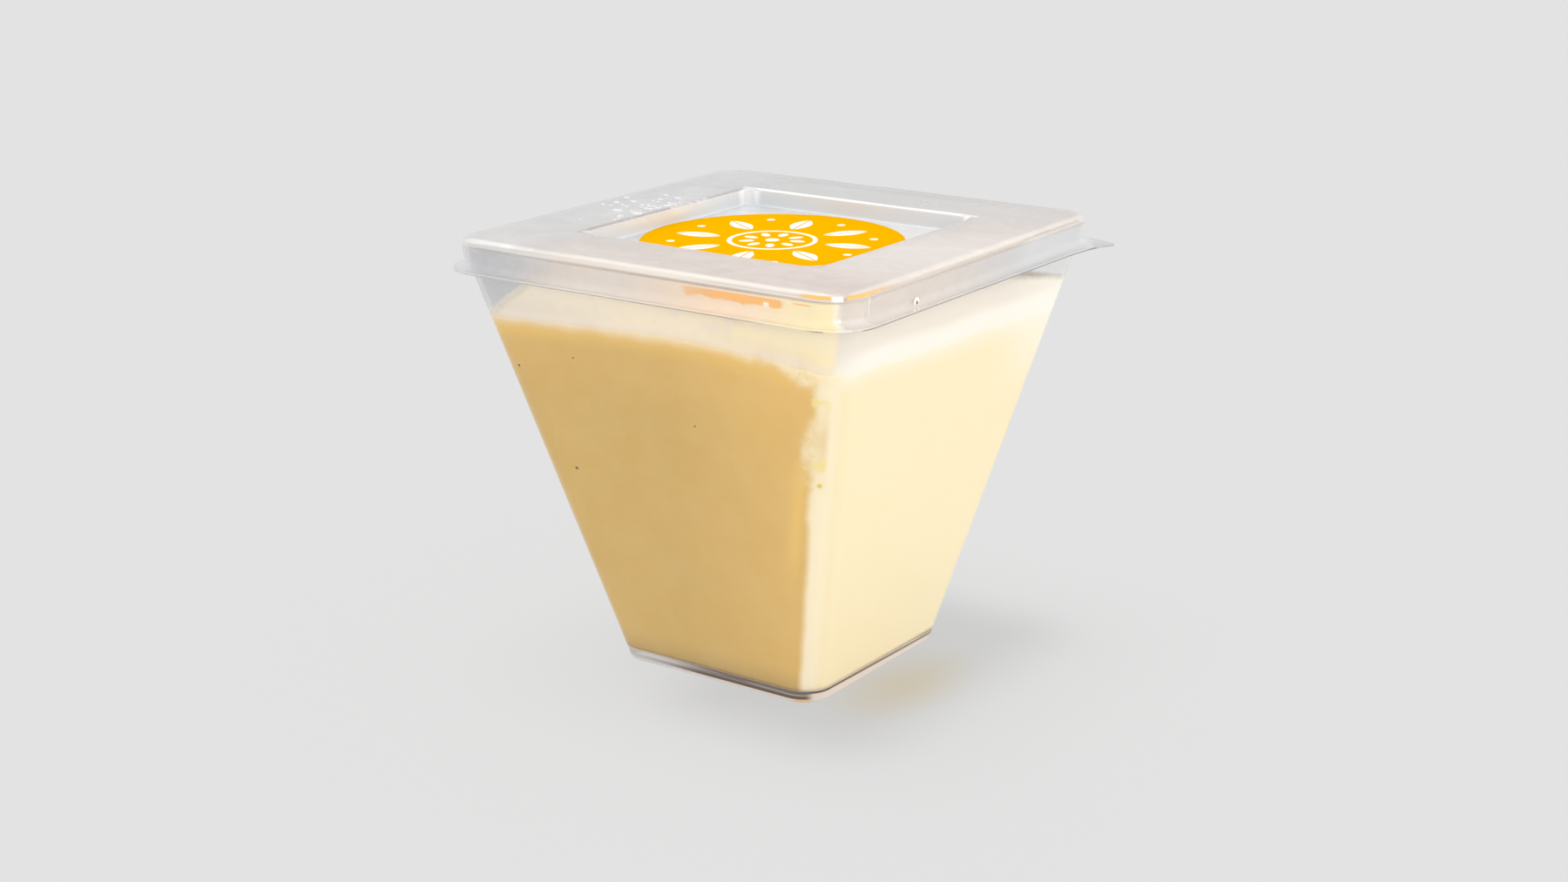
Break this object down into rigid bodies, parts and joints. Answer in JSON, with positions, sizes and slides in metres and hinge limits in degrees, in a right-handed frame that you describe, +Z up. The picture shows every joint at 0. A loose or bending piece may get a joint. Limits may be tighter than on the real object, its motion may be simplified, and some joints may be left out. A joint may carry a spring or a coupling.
{
  "type": "passion fruit ice cream in a clear cup",
  "caption": "Passion fruit ice cream filling a square tapered clear cup, closed by a clear press-on lid with a pull tab and a round orange sticker.",
  "frame": {"origin": "centre of the flat underside of the cup, where it stands on the table", "axes": "+Z up out of the cup's mouth, -Y out of the wide front face of the picture, and the lid's pull tab at the +X +Y corner"},
  "size_m": [0.0829, 0.0829, 0.076],
  "materials": {
    "clear_cup": "gloss",
    "ice_cream": "satin",
    "clear_lid": "gloss",
    "sticker": "satin"
  },
  "bodies": {
    "root": {"cup": "clear_cup", "ice_cream": "ice_cream", "lid": "clear_lid", "sticker": "sticker"}
  },
  "joints": []
}
